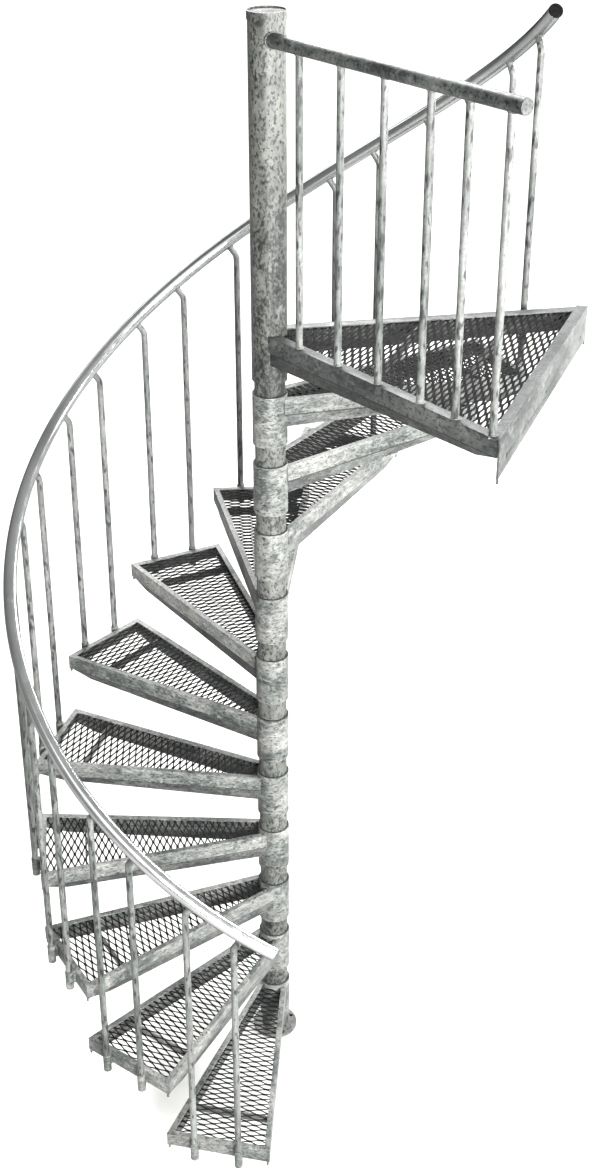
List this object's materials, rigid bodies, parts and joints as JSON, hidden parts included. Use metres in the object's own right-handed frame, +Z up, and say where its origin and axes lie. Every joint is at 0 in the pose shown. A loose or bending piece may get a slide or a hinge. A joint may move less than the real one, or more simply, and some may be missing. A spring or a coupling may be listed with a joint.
{
  "type": "spiral staircase",
  "caption": "Outdoor spiral stair: wedge mesh treads on a round column, a helical handrail on upright balusters and a triangular landing with a guard rail.",
  "frame": {"origin": "centre of the base plate's underside, on the column's axis at ground level", "axes": "+Z up along the column, +X out of the landing's floor side"},
  "size_m": [1.7254, 1.7122, 3.683],
  "materials": {
    "galvanised_steel": "hot-dip galvanised, matt with spangle",
    "galvanised_mesh": "hot-dip galvanised expanded metal, weathered",
    "galvanised_rail": "galvanised tube, smooth",
    "black_plastic": "moulded, matt"
  },
  "bodies": {
    "root": {"balusters_01": "galvanised_steel", "balusters_02": "galvanised_steel", "balusters_03": "galvanised_steel", "balusters_04": "galvanised_steel", "balusters_05": "galvanised_steel", "balusters_06": "galvanised_steel", "balusters_07": "galvanised_steel", "balusters_08": "galvanised_steel", "balusters_09": "galvanised_steel", "balusters_10": "galvanised_steel", "balusters_11": "galvanised_steel", "centre_column": "galvanised_steel", "guard_balusters": "galvanised_steel", "guard_rail": "galvanised_steel", "handrail": "galvanised_rail", "handrail_end_plug": "black_plastic", "landing_frame": "galvanised_steel", "landing_mesh": "galvanised_mesh", "top_post": "galvanised_steel", "tread_frame_01": "galvanised_steel", "tread_frame_02": "galvanised_steel", "tread_frame_03": "galvanised_steel", "tread_frame_04": "galvanised_steel", "tread_frame_05": "galvanised_steel", "tread_frame_06": "galvanised_steel", "tread_frame_07": "galvanised_steel", "tread_frame_08": "galvanised_steel", "tread_frame_09": "galvanised_steel", "tread_frame_10": "galvanised_steel", "tread_frame_11": "galvanised_steel", "tread_mesh_01": "galvanised_mesh", "tread_mesh_02": "galvanised_mesh", "tread_mesh_03": "galvanised_mesh", "tread_mesh_04": "galvanised_mesh", "tread_mesh_05": "galvanised_mesh", "tread_mesh_06": "galvanised_mesh", "tread_mesh_07": "galvanised_mesh", "tread_mesh_08": "galvanised_mesh", "tread_mesh_09": "galvanised_mesh", "tread_mesh_10": "galvanised_mesh", "tread_mesh_11": "galvanised_mesh"}
  },
  "joints": []
}
